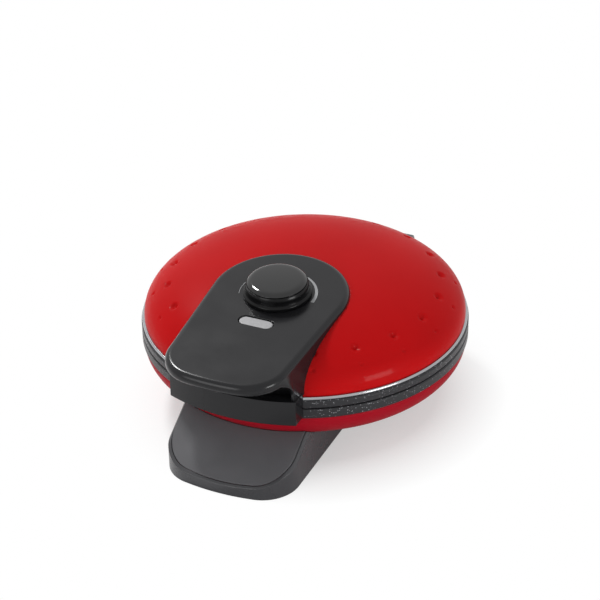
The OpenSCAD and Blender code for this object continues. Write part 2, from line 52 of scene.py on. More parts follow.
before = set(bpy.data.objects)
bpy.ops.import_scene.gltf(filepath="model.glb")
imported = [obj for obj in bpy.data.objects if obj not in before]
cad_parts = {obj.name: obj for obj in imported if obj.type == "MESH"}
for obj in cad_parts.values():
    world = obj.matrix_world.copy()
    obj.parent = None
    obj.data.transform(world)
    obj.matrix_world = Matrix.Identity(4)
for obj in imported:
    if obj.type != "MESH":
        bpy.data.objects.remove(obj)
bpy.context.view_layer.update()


def linear(hex_text):
    """The linear RGBA colour of an sRGB hex value."""
    parts = [int(hex_text[i : i + 2], 16) / 255 for i in (1, 3, 5)]
    return tuple(c / 12.92 if c <= 0.04045 else ((c + 0.055) / 1.055) ** 2.4 for c in parts) + (1.0,)


def low(node):
    """Lowest corner of a CAD node, in millimetres."""
    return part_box(node)[0] / MM


def high(node):
    """Highest corner of a CAD node, in millimetres."""
    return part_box(node)[1] / MM


class WaffleSizes(bpy.types.PropertyGroup):
    """Sizes that aren't read from the frame, in millimetres."""

    lid_edge: bpy.props.FloatProperty(
        name="Lid edge", description="Height of the dome's lower edge", default=66.2, min=60, max=70
    )
    dimple_count: bpy.props.IntProperty(
        name="Dimples", description="Number of dimples round the whole shoulder", default=20, min=8, max=32
    )
    dimple_width: bpy.props.FloatProperty(
        name="Dimple width", description="Width of the inner dimple of each pair", default=8.8, min=4, max=12
    )
    dimple_depth: bpy.props.FloatProperty(
        name="Dimple depth", description="Depth of the inner dimple of each pair", default=2.2, min=0.4, max=3
    )
    outer_dimple: bpy.props.FloatProperty(
        name="Outer dimple",
        description="Size of the outer dimple against the inner one",
        default=0.5,
        min=0.3,
        max=1,
    )
    cover_top: bpy.props.FloatProperty(
        name="Cover top", description="Height of the cover's plane above the plates' axis", default=104.6
    )
    cover_tilt: bpy.props.FloatProperty(
        name="Cover tilt",
        description="Fall of the cover towards the front",
        default=math.radians(4.57),
        subtype="ANGLE",
    )
    knob_y: bpy.props.FloatProperty(
        name="Knob place", description="Place of the knob's axis along the handle", default=-44.0
    )
    cover_half: bpy.props.FloatProperty(
        name="Cover half width", description="Half the cover's width at its round end", default=48.1
    )
    cover_end: bpy.props.FloatProperty(
        name="Cover end", description="Place of the round end's centre along the handle", default=-41.5
    )
    cover_taper: bpy.props.FloatProperty(
        name="Cover taper",
        description="Angle by which each side closes in towards the lip",
        default=math.radians(3.7),
        subtype="ANGLE",
    )
    lip_reach: bpy.props.FloatProperty(
        name="Lip reach",
        description="How far the lip's front stands out from the CAD cover's",
        default=5.0,
        min=0,
        max=8,
    )
    lip_corner: bpy.props.FloatProperty(
        name="Lip corner",
        description="Corner radius of the lip seen from above",
        default=28.0,
        min=20,
        max=32,
    )
    lip_thickness: bpy.props.FloatProperty(
        name="Lip thickness", description="Thickness of the lip at its front", default=8.0, min=6, max=10
    )
    arch_round: bpy.props.FloatProperty(
        name="Arch round", description="Radius between the lip's underside and the side walls", default=13.0
    )
    wall_flare: bpy.props.FloatProperty(
        name="Wall flare",
        description="How far the side walls lean out towards the lid",
        default=1.8,
        min=0,
        max=3,
    )
    edge_round: bpy.props.FloatProperty(
        name="Edge round", description="Radius along the cover's top edges", default=4.0, min=1, max=5
    )


COLOUR = {"subtype": "COLOR", "size": 4, "min": 0, "max": 1}


class WaffleColours(bpy.types.PropertyGroup):
    """Colours of the finishes."""

    enamel: bpy.props.FloatVectorProperty(
        name="Lid paint",
        description="Red of the painted casing",
        default=linear("#b00b0e"),
        **COLOUR,
    )
    bowl_enamel: bpy.props.FloatVectorProperty(
        name="Base paint",
        description="Deeper red of the base shell",
        default=linear("#97101f"),
        **COLOUR,
    )
    gloss_black: bpy.props.FloatVectorProperty(
        name="Gloss plastic",
        description="Polished black plastic",
        default=linear("#0c0c0d"),
        **COLOUR,
    )
    cover_black: bpy.props.FloatVectorProperty(
        name="Cover plastic",
        description="Semi-gloss black of the handle cover",
        default=linear("#19191b"),
        **COLOUR,
    )
    stand_black: bpy.props.FloatVectorProperty(
        name="Stand plastic",
        description="Semi-gloss black plastic of the stand",
        default=linear("#363639"),
        **COLOUR,
    )
    panel_grey: bpy.props.FloatVectorProperty(
        name="Panel plastic",
        description="Satin dark grey of the stand's front panel",
        default=linear("#505053"),
        **COLOUR,
    )
    granite: bpy.props.FloatVectorProperty(
        name="Plate coating",
        description="Ground colour of the speckled coating",
        default=linear("#202023"),
        **COLOUR,
    )
    lens: bpy.props.FloatVectorProperty(
        name="Lens",
        description="Frosted indicator lens",
        default=linear("#98989a"),
        **COLOUR,
    )


def add_node(tree, kind, inputs=None, **settings):
    """Adds a node to a tree. A socket given as an input is linked, and any other value is set."""
    node = tree.nodes.new(kind)
    for name, value in settings.items():
        setattr(node, name, value)
    for name, value in (inputs or {}).items():
        if isinstance(value, bpy.types.NodeSocket):
            tree.links.new(value, node.inputs[name])
        else:
            node.inputs[name].default_value = value
    return node


def surface_material(name, **values):
    """A material with one principled shader set to the given values. Returns it, its tree and the shader."""
    material = bpy.data.materials.new(name)
    material.use_nodes = True
    tree = material.node_tree
    tree.nodes.clear()
    shader = add_node(tree, "ShaderNodeBsdfPrincipled", values)
    add_node(tree, "ShaderNodeOutputMaterial", {"Surface": shader.outputs["BSDF"]})
    return material, tree, shader


def object_noise(tree, feature_mm, detail):
    """Noise on object coordinates whose features are about feature_mm across."""
    place = add_node(tree, "ShaderNodeTexCoord").outputs["Object"]
    inputs = {"Vector": place, "Scale": 1 / (feature_mm * MM), "Detail": detail, "Roughness": 0.5}
    return add_node(tree, "ShaderNodeTexNoise", inputs).outputs["Fac"]


def between(tree, factor, low_in, high_in, low_out, high_out):
    """Maps a factor from one range to another, clamped."""
    ends = {"From Min": low_in, "From Max": high_in, "To Min": low_out, "To Max": high_out}
    return add_node(tree, "ShaderNodeMapRange", {"Value": factor, **ends}).outputs["Result"]


def relief(tree, shader, height, distance_mm, edge_mm=0.0):
    """Bump from a height field, over corners that a moulding tool leaves softly rounded."""
    inputs = {"Height": height, "Distance": distance_mm * MM, "Strength": 1.0}
    if edge_mm:
        soft = add_node(tree, "ShaderNodeBevel", {"Radius": edge_mm * MM}, samples=6)
        inputs["Normal"] = soft.outputs["Normal"]
    bump = add_node(tree, "ShaderNodeBump", inputs)
    tree.links.new(bump.outputs["Normal"], shader.inputs["Normal"])


def tinted(tree, shader, ground, tone, shade):
    """Varies the base colour with a noise, from a darker share of its ground to the ground itself."""
    inputs = {"Factor": 1.0, MIX_A: ground, MIX_B: between(tree, tone, 0.35, 0.65, shade, 1.0)}
    mix = add_node(tree, "ShaderNodeMix", inputs, data_type="RGBA", blend_type="MULTIPLY")
    tree.links.new(mix.outputs[MIX_RESULT], shader.inputs["Base Color"])


def mottled(name, colour, feature_mm, detail, shade, depth_mm=0.0, edge_mm=0.0, **values):
    """A material with one noise in it, which darkens the colour down to a share and lifts the surface."""
    material, tree, shader = surface_material(name, **{"Base Color": colour, **values})
    tone = object_noise(tree, feature_mm, detail)
    tinted(tree, shader, colour, tone, shade)
    if depth_mm:
        relief(tree, shader, tone, depth_mm, edge_mm)
    return material


def hazy(name, colour, haze, roughness, grain, depth_mm, edge_mm, **values):
    """A plastic with a rougher haze over a fine grain. Each of the two is a feature size and a detail."""
    material, tree, shader = surface_material(name, **{"Base Color": colour, **values})
    cloud = object_noise(tree, *haze)
    tree.links.new(between(tree, cloud, 0.35, 0.7, *roughness), shader.inputs["Roughness"])
    relief(tree, shader, object_noise(tree, *grain), depth_mm, edge_mm)
    return material


def skin(rings, close=False):
    """A bmesh of faces between rings of points in millimetres, with its rows. One point makes a pole."""
    bm = bmesh.new()
    rows = [[bm.verts.new(Vector(p) * MM) for p in ring] for ring in rings]
    count = max(len(row) for row in rows)
    pairs = list(zip(rows, rows[1:]))
    if close:
        pairs.append((rows[-1], rows[0]))
    for a, b in pairs:
        for i in range(count):
            j = i + 1
            corners = [a[i % len(a)], a[j % len(a)], b[j % len(b)], b[i % len(b)]]
            corners = list(dict.fromkeys(corners))
            if len(corners) > 2:
                bm.faces.new(corners)
    return bm, rows


def loft(name, rings, close=False):
    """A closed mesh through rings of points, with a face over each end unless its ends meet."""
    bm, rows = skin(rings, close)
    if not close:
        for row in (rows[0], rows[-1]):
            if len(row) > 2:
                bm.faces.new(row)
    return mesh_from(bm, name)


def mesh_from(bm, name):
    """Turns a bmesh into a smooth mesh that keeps its sharp folds."""
    bmesh.ops.recalc_face_normals(bm, faces=bm.faces)
    mesh = bpy.data.meshes.new(name)
    bm.to_mesh(mesh)
    bm.free()
    mesh.shade_smooth()
    mesh.set_sharp_from_angle(angle=CREASE)
    return mesh


def circles(profile, steps):
    """Level circles about the vertical axis through a profile of (radius, height) points, or its pole."""
    turns = [math.tau * i / steps for i in range(steps)]
    return [[(r * math.cos(t), r * math.sin(t), z) for t in (turns if r > 0 else [0.0])] for r, z in profile]


def lathe(name, profile, steps, close=False):
    """Spins a profile of (radius, height) points about the vertical axis."""
    return loft(name, circles(profile, steps), close)


def arc(centre, radius, start, end, steps):
    """Points of a plane arc between two angles in degrees, both ends included."""
    angles = [math.radians(start + (end - start) * i / steps) for i in range(steps + 1)]
    return [(centre[0] + radius * math.cos(a), centre[1] + radius * math.sin(a)) for a in angles]


def piece(name, mesh, material, body, replaces=()):
    """Puts a mesh in the scene as a piece of the object that rides on a CAD body."""
    obj = bpy.data.objects.new(name, mesh)
    bpy.context.scene.collection.objects.link(obj)
    obj.data.materials.clear()
    obj.data.materials.append(material)
    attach(obj, body)
    if replaces:
        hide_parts(*replaces)


def dress(material, *nodes):
    """Gives carried-over CAD nodes their finish."""
    for node in nodes:
        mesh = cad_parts[node].data
        mesh.materials.clear()
        mesh.materials.append(material)


def workpiece(mesh):
    """An object that holds a mesh while modifiers change it."""
    obj = bpy.data.objects.new("work", mesh)
    bpy.context.scene.collection.objects.link(obj)
    return obj


def baked(obj):
    """The mesh of a workpiece after its modifiers. They and the object are removed."""
    graph = bpy.context.evaluated_depsgraph_get()
    result = bpy.data.meshes.new_from_object(obj.evaluated_get(graph))
    obj.modifiers.clear()
    bpy.data.objects.remove(obj)
    return result


def evaluated(mesh, kind, **settings):
    """The mesh after one modifier."""
    obj = workpiece(mesh)
    modifier = obj.modifiers.new(kind.lower(), kind)
    for name, value in settings.items():
        setattr(modifier, name, value)
    return baked(obj)


def with_nodes(mesh, tree, values):
    """The mesh after a geometry nodes tree, with its inputs set by their identifiers."""
    obj = workpiece(mesh)
    modifier = obj.modifiers.new("nodes", "NODES")
    modifier.node_group = tree
    for key, value in values.items():
        modifier[key] = value
    return baked(obj)


def smoothstep(x):
    """Eases from 0 to 1."""
    x = min(1.0, max(0.0, x))
    return x * x * (3 - 2 * x)


def blend(a, b, share):
    """The value between a and b at a share."""
    return a + (b - a) * share


def dome_height(radius, sizes):
    """Height of the lid's outside over a radius: a superellipse between its edge and its top."""
    rim = high("lid_shell").x
    rise = high("lid_shell").z - sizes.lid_edge
    return sizes.lid_edge + rise * max(0.0, 1 - (radius / rim) ** 2.83) ** (1 / 2.08)


def cover_height(y, sizes):
    """Height of the cover's sloping top."""
    return sizes.cover_top + y * math.tan(sizes.cover_tilt)


def on_cover(mesh, sizes):
    """Moves a mesh drawn round the origin to the knob's axis on the sloping top."""
    place = Vector((0, sizes.knob_y, cover_height(sizes.knob_y, sizes))) * MM
    mesh.transform(Matrix.Translation(place) @ Matrix.Rotation(sizes.cover_tilt, 4, "X"))
    return mesh


def across_cover(x, y, sizes):
    """Distance of a place from the cover's middle line, measured square to its nearer side."""
    taper = sizes.cover_taper
    if sizes.cover_end - y < abs(x) * math.tan(taper):
        return math.hypot(x, y - sizes.cover_end)
    return abs(x) * math.cos(taper) + (sizes.cover_end - y) * math.sin(taper)


def cover_outline(sizes, front, arch_y, pillar_y):
    """Plan of the handle cover, each point with its outward direction.

    It has a round end, sides that close in and a lip bowed about the plates' axis. The arch has more points.
    """
    taper, half, corner = sizes.cover_taper, sizes.cover_half, sizes.lip_corner
    aim = -math.degrees(taper)
    outward = Vector((math.cos(taper), -math.sin(taper)))
    forward = Vector((-math.sin(taper), -math.cos(taper)))
    end = Vector((0, sizes.cover_end))
    start = end + outward * (half - corner)
    turn = start.dot(forward)
    length = -turn + math.sqrt(turn**2 - start.length_squared + (front - corner) ** 2)
    centre = start + forward * length
    lean = math.degrees(math.atan2(centre.y, centre.x))
    side = end + outward * half
    right = list(zip(arc(end, half, 90, aim, 48), spread(90, aim, 48)))
    steps = [length * i / 56 for i in range(1, 56)]
    for a in spread(0, 90, 14):
        y = arch_y + (pillar_y - arch_y) * math.sin(math.radians(a))
        steps.append((side.y - y) / math.cos(taper))
    steps.append((side.y - pillar_y - 0.1) / math.cos(taper))
    for along in sorted(t for t in steps if 0 < t < length - 0.05):
        right.append((tuple(side + forward * along), aim))
    right += list(zip(arc(centre, corner, aim, lean, 28), spread(aim, lean, 28)))
    right += list(zip(arc((0, 0), front, lean, -90, 24), spread(lean, -90, 24)))[1:]
    left = [((-x, y), 180 - a) for (x, y), a in right[-2:0:-1]]
    turned = [(p, math.radians(a)) for p, a in right + left]
    return [(Vector(p), Vector((math.cos(t), math.sin(t)))) for p, t in turned]


def spread(start, end, steps):
    """Evenly spaced values, both ends included."""
    return [blend(start, end, i / steps) for i in range(steps + 1)]


def painted_enamel(name, paint):
    """Red stoving enamel on pressed aluminium: deep colour, sharp small highlights, faint orange peel."""
    base = {"Base Color": paint, "Roughness": 0.4, "Specular IOR Level": 0.02}
    material, tree, shader = surface_material(name, **base, **{"Coat Weight": 0.06, "Coat Roughness": 0.05})
    tinted(tree, shader, paint, object_noise(tree, 60.0, 2.0), 0.92)
    relief(tree, shader, object_noise(tree, 3.0, 1.0), 0.012)
    return material


def gloss_plastic(colours):
    """Polished ABS from a mirror-finished mould: black with clear reflections and fine handling marks."""
    haze, grain = (18.0, 4.0), (6.0, 1.0)
    return hazy("polished_abs", colours.gloss_black, haze, (0.05, 0.11), grain, 0.006, 0.5, IOR=1.5)


def cover_plastic(colours):
    """Semi-gloss ABS of the handle cover: black that shows the room as a soft grey sheen on its flat top."""
    haze, grain = (25.0, 3.0), (2.0, 1.0)
    shine = {"IOR": 1.5, "Specular IOR Level": 0.24}
    return hazy("semi_gloss_abs", colours.cover_black, haze, (0.17, 0.24), grain, 0.004, 0.6, **shine)


def satin_plastic(colours):
    """Spark-textured ABS of the stand's panel: dark grey with a fine grain that spreads the light."""
    material, tree, shader = surface_material(
        "spark_textured_abs", **{"Base Color": colours.panel_grey, "Roughness": 0.5, "IOR": 1.5}
    )
    tinted(tree, shader, colours.panel_grey, object_noise(tree, 30.0, 2.0), 0.85)
    relief(tree, shader, object_noise(tree, 0.6, 2.0), 0.02, 1.0)
    return material


def stand_plastic(colours):
    """Semi-gloss polypropylene of the stand: black that turns light grey where it is seen edge-on."""
    haze, grain = (22.0, 3.0), (1.5, 2.0)
    colour, roughness = colours.stand_black, (0.24, 0.34)
    return hazy("semi_gloss_polypropylene", colour, haze, roughness, grain, 0.006, 1.0, IOR=1.49)


def knob_grip_plastic(colours):
    """Fine-textured ABS of the knob's side, where fingers turn it: deep black with little shine."""
    shine = {"Roughness": 0.22, "IOR": 1.5, "Specular IOR Level": 0.16}
    return mottled("fine_textured_abs", colours.gloss_black, 0.8, 2.0, 0.85, 0.008, 0.4, **shine)


def granite_coating(colours):
    """Speckled non-stick coating on cast aluminium: dark ground, pale flecks half a millimetre across."""
    material, tree, shader = surface_material(
        "speckled_coating", **{"Base Color": colours.granite, "Roughness": 0.38, "Specular IOR Level": 0.35}
    )
    place = add_node(tree, "ShaderNodeTexCoord").outputs["Object"]
    flecks = add_node(tree, "ShaderNodeTexVoronoi", {"Vector": place, "Scale": 1 / (1.1 * MM)})
    size = add_node(tree, "ShaderNodeSeparateColor", {"Color": flecks.outputs["Color"]})
    radius = between(tree, size.outputs["Red"], 0.5, 1.0, 0.0, 0.36)
    ends = {0: flecks.outputs["Distance"], 1: radius}
    inside = add_node(tree, "ShaderNodeMath", ends, operation="LESS_THAN").outputs[0]
    inputs = {"Factor": inside, MIX_A: colours.granite, MIX_B: linear("#8a8a8e")}
    mix = add_node(tree, "ShaderNodeMix", inputs, data_type="RGBA")
    tree.links.new(mix.outputs[MIX_RESULT], shader.inputs["Base Color"])
    relief(tree, shader, object_noise(tree, 1.2, 2.0), 0.05, 0.6)
    return material


def polished_steel():
    """Buffed stainless steel: bright, with faint buffing lines round the ring."""
    material, tree, shader = surface_material(
        "polished_stainless", **{"Base Color": linear("#a3a4a7"), "Metallic": 1.0}
    )
    marks = object_noise(tree, 1.5, 3.0)
    tree.links.new(between(tree, marks, 0.3, 0.7, 0.1, 0.22), shader.inputs["Roughness"])
    relief(tree, shader, marks, 0.004, 0.3)
    return material


def plated_steel():
    """Zinc-plated steel of the screws, the pin and the spindle: dull, slightly mottled metal."""
    zinc = linear("#b4b5b2")
    return mottled("zinc_plated_steel", zinc, 2.5, 3.0, 0.8, 0.01, 0.3, Metallic=1.0, Roughness=0.34)


def aluminised_sheet():
    """Mill-finish aluminised sheet of the heat shields and the bracket, with rolling haze."""
    sheet = linear("#a4a6a8")
    return mottled("aluminised_sheet", sheet, 8.0, 4.0, 0.82, 0.01, Metallic=1.0, Roughness=0.45)


def element_sheath():
    """Steel sheath of the heating elements, browned by heat."""
    return mottled(
        "heat_browned_sheath", linear("#6f675c"), 10.0, 3.0, 0.6, 0.02, Metallic=1.0, Roughness=0.5
    )


def rubber():
    """Moulded nitrile rubber of the feet: dark grey and dull."""
    return mottled("moulded_rubber", linear("#232324"), 0.8, 2.0, 0.8, 0.03, 0.4, Roughness=0.75)


def phenolic():
    """Cream phenolic of the thermostat and the terminal block, with fine speckle."""
    return mottled("cream_phenolic", linear("#cfc8b6"), 1.0, 3.0, 0.88, 0.02, 0.3, Roughness=0.5)


def frosted_lens(colours):
    """Frosted polycarbonate of the lens: pale grey, with a soft pebble that hides the lamp."""
    return mottled("frosted_polycarbonate", colours.lens, 1.4, 2.0, 0.86, 0.12, Roughness=0.45, IOR=1.58)


def lamp_glass():
    """Neon lamp glass, warm orange."""
    return mottled("neon_lamp_glass", linear("#c9713a"), 2.0, 1.0, 0.85, Roughness=0.12, IOR=1.47)


def dial_ink():
    """Pad-printed grey ink of the dial's scale, a few hundredths of a millimetre thick."""
    return mottled("pad_printed_ink", linear("#8e8f91"), 0.5, 2.0, 0.9, Roughness=0.5)


class WAFFLE_OT_lid(bpy.types.Operator):
    """Red dome with its ring of pressed dimples"""

    bl_idname = "waffle.lid"
    bl_label = "Lid dome"

    def execute(self, context):
        sizes, colours = context.scene.waffle_sizes, context.scene.waffle_colours
        rim = high("lid_shell").x
        turns, metal = 640, 1.4
        # Between these two angles, which hold the dimples, the rings lie evenly.
        shoulder, side = 52, 75
        radii = [rim * math.sin(math.radians(a)) for a in spread(0, shoulder, 18)]
        radii += spread(radii[-1], rim * math.sin(math.radians(side)), 32)[1:]
        radii += [rim * math.sin(math.radians(a)) for a in spread(side, 90, 14)[1:]]
        profile = [(r, dome_height(r, sizes)) for r in radii]
        profile.append((rim, low("lid_shell").z))
        bm, _ = skin(circles(profile, turns))
        self.cut_for_cover(bm, sizes)
        sheet = mesh_from(bm, "lid_dome")
        sheet = press_dimples(sheet, sizes, painted_enamel("stoving_enamel", colours.enamel))
        sheet = evaluated(sheet, "SOLIDIFY", thickness=metal * MM, offset=-1.0)
        piece("lid_dome", sheet, sheet.materials[0], "lid", ["lid_shell"])
        return {"FINISHED"}

    def cut_for_cover(self, bm, sizes):
        """Opens the dome under the handle cover, with the edge inside the cover's wall."""
        half, back = sizes.cover_half - 1.1, 30.0

        def inside(p):
            return p.y / MM < back and across_cover(p.x / MM, p.y / MM, sizes) < half

        gone = [f for f in bm.faces if all(inside(v.co) for v in f.verts)]
        bmesh.ops.delete(bm, geom=gone, context="FACES")
        bmesh.ops.recalc_face_normals(bm, faces=bm.faces)
        if sum(f.normal.z for f in bm.faces) < 0:
            bmesh.ops.reverse_faces(bm, faces=bm.faces)


def press_dimples(mesh, sizes, material):
    """Presses pairs of round dimples into the dome's shoulder with a geometry nodes tree."""
    tree = bpy.data.node_groups.new("press_dimples", "GeometryNodeTree")
    interface = tree.interface
    interface.new_socket("Geometry", in_out="INPUT", socket_type="NodeSocketGeometry")
    inputs = {
        "Count": ("NodeSocketInt", sizes.dimple_count),
        "Width": ("NodeSocketFloat", sizes.dimple_width * MM),
        "Depth": ("NodeSocketFloat", sizes.dimple_depth * MM),
        "Outer size": ("NodeSocketFloat", sizes.outer_dimple),
        "Inner radius": ("NodeSocketFloat", 95.5 * MM),
        "Outer radius": ("NodeSocketFloat", 105.8 * MM),
        "Inner slope": ("NodeSocketFloat", math.radians(37)),
        "Outer slope": ("NodeSocketFloat", math.radians(55)),
    }
    keys = {
        name: interface.new_socket(name, in_out="INPUT", socket_type=kind).identifier
        for name, (kind, value) in inputs.items()
    }
    interface.new_socket("Geometry", in_out="OUTPUT", socket_type="NodeSocketGeometry")
    group = add_node(tree, "NodeGroupInput").outputs

    def maths(operation, a, b=0.0):
        return add_node(tree, "ShaderNodeMath", {0: a, 1: b}, operation=operation).outputs[0]

    def squared(value):
        return maths("MULTIPLY", value, value)

    place = add_node(tree, "GeometryNodeInputPosition").outputs[0]
    split = add_node(tree, "ShaderNodeSeparateXYZ", {0: place}).outputs
    radius = maths("SQRT", maths("ADD", squared(split[0]), squared(split[1])))
    angle = maths("ARCTAN2", split[1], split[0])
    step = maths("DIVIDE", math.tau, group["Count"])
    share = maths("DIVIDE", maths("ADD", angle, math.tau), step)
    offset = maths("MULTIPLY", maths("SUBTRACT", maths("FRACT", share), 0.5), step)
    across = maths("MULTIPLY", radius, offset)

    def drop(middle, slope, size):
        """How far one dimple pushes a point in, by its distance along the sheet from the dimple's middle."""
        slant = maths("DIVIDE", maths("SUBTRACT", radius, middle), maths("COSINE", slope))
        reach = maths("SQRT", maths("ADD", squared(across), squared(slant)))
        edge = maths("MULTIPLY", maths("MULTIPLY", group["Width"], 0.5), size)
        fall = add_node(
            tree,
            "ShaderNodeMapRange",
            {"Value": reach, "From Min": 0.0, "From Max": edge, "To Min": 1.0, "To Max": 0.0},
            interpolation_type="SMOOTHSTEP",
        ).outputs[0]
        push = maths("MULTIPLY", maths("MULTIPLY", fall, group["Depth"]), size)
        return maths("MULTIPLY", push, maths("SINE", slope)), maths("MULTIPLY", push, maths("COSINE", slope))

    inner = drop(group["Inner radius"], group["Inner slope"], 1.0)
    outer = drop(group["Outer radius"], group["Outer slope"], group["Outer size"])
    level = maths("MULTIPLY", maths("ADD", inner[0], outer[0]), -1.0)
    down = maths("MULTIPLY", maths("ADD", inner[1], outer[1]), -1.0)
    away_x = maths("MULTIPLY", level, maths("COSINE", angle))
    away_y = maths("MULTIPLY", level, maths("SINE", angle))
    shift = add_node(tree, "ShaderNodeCombineXYZ", {"X": away_x, "Y": away_y, "Z": down}).outputs[0]
    moved = add_node(tree, "GeometryNodeSetPosition", {"Geometry": group["Geometry"], "Offset": shift})
    real = add_node(tree, "GeometryNodeRealizeInstances", {"Geometry": moved.outputs[0]})
    painted = add_node(tree, "GeometryNodeSetMaterial", {"Geometry": real.outputs[0], "Material": material})
    add_node(tree, "NodeGroupOutput", {"Geometry": painted.outputs[0]})
    values = {keys[name]: value for name, (kind, value) in inputs.items()}
    return with_nodes(mesh, tree, values)


class WAFFLE_OT_trim_ring(bpy.types.Operator):
    """Polished ring between the lid and the upper plate"""

    bl_idname = "waffle.trim_ring"
    bl_label = "Trim ring"

    def execute(self, context):
        outer, bottom, top = high("lid_trim_ring").x, low("lid_trim_ring").z, high("lid_trim_ring").z
        width, middle, half = 6, (top + bottom) / 2, (top - bottom) / 2
        bulge = half * 0.9
        turns = [math.radians(a) for a in spread(-90, 90, 12)]
        profile = [(outer - bulge + bulge * math.cos(t), middle + half * math.sin(t)) for t in turns]
        profile += [(outer - width, top), (outer - width, bottom)]
        bead = lathe("trim_bead", profile, 256, close=True)
        piece("trim_bead", bead, polished_steel(), "lid", ["lid_trim_ring"])
        return {"FINISHED"}


class WAFFLE_OT_bowl(bpy.types.Operator):
    """Red base shell with its rounded side"""

    bl_idname = "waffle.bowl"
    bl_label = "Base shell"

    def execute(self, context):
        colours = context.scene.waffle_colours
        outer, bottom, top = high("base_shell").x, low("base_shell").z, high("base_shell").z
        reach, wall, lip = 40.0, 1.6, 8.0
        centre = outer - reach
        side = top - 1.0
        depth = side - bottom

        def side_curve(inset, angles):
            """The side's quarter ellipse, or its inside."""
            across, down = reach - inset, depth - inset
            turns = [math.radians(a) for a in angles]
            return [(centre + across * math.sin(t), side - down * math.cos(t)) for t in turns]

        profile = [(0, bottom)] + side_curve(0, spread(0, 90, 30))
        profile += [(outer - 0.3, top - 0.2), (outer - 0.8, top)]
        profile += [(outer - lip, top), (outer - lip, top - wall)]
        profile += side_curve(wall, spread(85, 0, 24)) + [(0, bottom + wall)]
        paint = painted_enamel("deep_stoving_enamel", colours.bowl_enamel)
        piece("base_bowl", lathe("base_bowl", profile, 256), paint, "base", ["base_shell"])
        return {"FINISHED"}


class WAFFLE_OT_cover(bpy.types.Operator):
    """Black handle cover with its rounded lip and the pocket for the lens"""

    bl_idname = "waffle.cover"
    bl_label = "Handle cover"

    def execute(self, context):
        sizes, colours = context.scene.waffle_sizes, context.scene.waffle_colours
        front = sizes.lip_reach - low("handle_cover").y
        self.lip_bottom = cover_height(-front, sizes) - sizes.lip_thickness
        self.pillar_y = low("grip_liner").y + 2.0
        self.arch_y = self.pillar_y - sizes.arch_round
        self.skirt = low("handle_cover").z
        outline = cover_outline(sizes, front, self.arch_y, self.pillar_y)
        columns = [self.section(p, n, sizes) for p, n in outline]
        rings = [[column[i] for column in columns] for i in range(len(columns[0]))]
        body = loft("cover_body", rings)
        length, width = LENS_LENGTH + 2 * POCKET_PLAY, LENS_WIDTH + 2 * POCKET_PLAY
        pocket = on_cover(stadium("lens_pocket", length, width, -3.0, 2.0), sizes)
        cutter = bpy.data.objects.new("lens_pocket", pocket)
        context.scene.collection.objects.link(cutter)
        body = evaluated(body, "BOOLEAN", operation="DIFFERENCE", solver="EXACT", object=cutter)
        bpy.data.objects.remove(cutter)
        body.set_sharp_from_angle(angle=CREASE)
        piece("cover_body", body, cover_plastic(colours), "lid", ["handle_cover"])
        return {"FINISHED"}

    def lower_edge(self, y, sizes):
        """Height of the wall's lower edge: the lip's underside, the arch behind it or the side's skirt."""
        if y >= self.pillar_y:
            return self.skirt
        rise = max(0.0, (y - self.arch_y) / sizes.arch_round)
        return self.lip_bottom - sizes.arch_round * (1 - math.sqrt(max(0.0, 1 - rise**2)))

    def section(self, point, outward, sizes):
        """The wall's section at one point of the outline, from the top's middle down and back up inside."""
        wall, tongue, upper = 2.2, 24.0, sizes.edge_round
        bottom = self.lower_edge(point.y, sizes)
        lip = smoothstep((self.pillar_y - 2.0 - point.y) / (self.pillar_y - 2.0 - self.arch_y))
        lower = blend(0.8, sizes.lip_thickness / 2 - 0.2, lip)
        top_z = cover_height(point.y, sizes)
        rows = []
        for inset in (upper + 2.0, upper + 0.6):
            p = point - outward * inset
            rows.append((p.x, p.y, cover_height(p.y, sizes)))
        centre = point - outward * upper
        centre_z = cover_height(centre.y, sizes) - upper
        for a in spread(90, 0, 10):
            p = centre + outward * upper * math.cos(math.radians(a))
            rows.append((p.x, p.y, centre_z + upper * math.sin(math.radians(a))))
        low_centre = min(bottom + lower, centre_z)
        flare = sizes.wall_flare * smoothstep((sizes.cover_end - point.y) / 50) * (1 - lip)
        for share in (0.33, 0.66):
            p = point + outward * flare * share
            rows.append((p.x, p.y, blend(centre_z, low_centre, share)))
        point = point + outward * flare
        for a in spread(0, 90, 8):
            p = point - outward * (lower * (1 - math.cos(math.radians(a))))
            rows.append((p.x, p.y, low_centre - lower * math.sin(math.radians(a))))
        bottom = rows[-1][2]
        inner = blend(wall, tongue, lip)
        for inset, height in ((inner, bottom), (inner + 0.3, blend(bottom + 1.0, bottom + 0.3, lip))):
            p = point - outward * inset
            rows.append((p.x, p.y, height))
        p = point - outward * (inner + 0.4)
        rows.append((p.x, p.y, top_z - wall - 1.2))
        return rows


